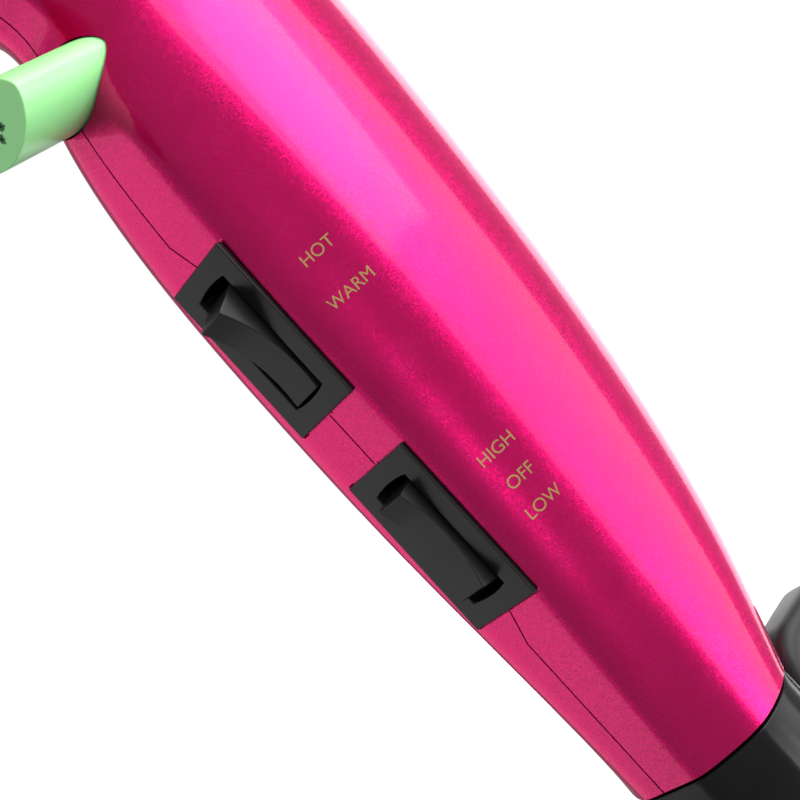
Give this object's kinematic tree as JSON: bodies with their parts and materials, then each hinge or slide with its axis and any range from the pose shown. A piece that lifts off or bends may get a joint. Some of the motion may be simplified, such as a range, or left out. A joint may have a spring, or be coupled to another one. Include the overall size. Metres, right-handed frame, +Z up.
{
  "type": "hair dryer",
  "caption": "Handheld hair dryer with a blended handle, two rocker switches, a cool-air push button, a twist-off intake cover and a push-on flat nozzle.",
  "frame": {"origin": "centre of the outlet grille's hub, on its front face, on the barrel's axis", "axes": "+X out of the nozzle along the barrel, +Y the dryer's left side as it blows away from the user, +Z up, with the handle hanging down"},
  "size_m": [0.2293, 0.0756, 0.2508],
  "materials": {
    "shell_paint": "pearl pink lacquer on moulded plastic, glossy clear coat",
    "black_gloss": "gloss moulded",
    "black_satin": "satin moulded",
    "rocker_black": "satin moulded",
    "mint_plastic": "half-gloss moulded",
    "rubber_black": "soft, matt",
    "dark_nylon": "moulded, glass filled",
    "white_nylon": "moulded",
    "steel": "bright zinc or ground steel",
    "brass": "stamped or sintered, dull",
    "ferrite": "ground ferrite",
    "copper": "enamelled winding over a laminated core",
    "board_green": "printed board with solder mask",
    "mica": "pressed mica sheet, flaky",
    "nichrome": "oxidised resistance ribbon",
    "wire_brown": "insulation",
    "wire_blue": "insulation",
    "wire_red": "insulation",
    "wire_black": "insulation"
  },
  "bodies": {
    "housing": {"left_shell": "shell_paint", "right_shell": "shell_paint", "end_cap": "black_gloss", "inlet_bush": "rubber_black", "hang_loop": "rubber_black", "heat_bezel": "black_satin", "heat_pin": "steel", "heat_switch": "dark_nylon", "heat_tab_1": "brass", "heat_tab_2": "brass", "heat_tab_3": "brass", "speed_bezel": "black_satin", "speed_pin": "steel", "speed_switch": "dark_nylon", "speed_tab_1": "brass", "speed_tab_2": "brass", "speed_tab_3": "brass", "cool_switch": "dark_nylon", "outlet_ring": "black_gloss", "outlet_grille": "black_satin", "intake_guard": "black_satin", "fan_duct": "dark_nylon", "motor_can": "steel", "motor_magnet": "ferrite", "motor_bell": "white_nylon", "motor_bush_rear": "brass", "motor_bush_front": "brass", "rectifier_board": "board_green", "heater_tube": "mica", "heater_board_flat": "mica", "heater_board_upright": "mica", "heater_coil_rear": "nichrome", "heater_coil_front": "nichrome", "thermostat": "steel", "thermal_fuse": "white_nylon", "wire_live": "wire_brown", "wire_neutral": "wire_blue", "wire_motor": "wire_red", "wire_heat": "wire_black", "shell_screw_1": "steel", "shell_screw_2": "steel", "shell_screw_3": "steel"},
    "nozzle": {"concentrator": "black_gloss"},
    "cover": {"intake_cover": "black_gloss", "filter_screen": "steel"},
    "rotor": {"fan": "dark_nylon", "motor_shaft": "steel", "armature": "copper"},
    "heat_rocker": {"heat_rocker": "rocker_black"},
    "speed_rocker": {"speed_rocker": "rocker_black"},
    "cool_button": {"cool_button": "mint_plastic", "cool_plunger": "white_nylon"}
  },
  "joints": [
    {"name": "nozzle_turn", "type": "hinge", "parent": "housing", "child": "nozzle", "pos_m": [0, 0, 0], "axis": [1, 0, 0], "continuous": true},
    {"name": "cover_twist", "type": "hinge", "parent": "housing", "child": "cover", "pos_m": [-0.18, 0, 0], "axis": [1, 0, 0], "range_deg": [0, 25]},
    {"name": "rotor_spin", "type": "hinge", "parent": "housing", "child": "rotor", "pos_m": [-0.14, 0, 0], "axis": [1, 0, 0], "continuous": true},
    {"name": "heat_rock", "type": "hinge", "parent": "housing", "child": "heat_rocker", "pos_m": [-0.0992, 0, -0.10435], "axis": [0, 1, 0], "range_deg": [-28, 0]},
    {"name": "speed_rock", "type": "hinge", "parent": "housing", "child": "speed_rocker", "pos_m": [-0.0992, 0, -0.13965], "axis": [0, 1, 0], "range_deg": [-14, 14]},
    {"name": "cool_push", "type": "slide", "parent": "housing", "child": "cool_button", "axis": [-1, 0, 0], "range_m": [0, 0.003], "stiffness_N_per_m": 300, "springref_m": -0.001}
  ]
}
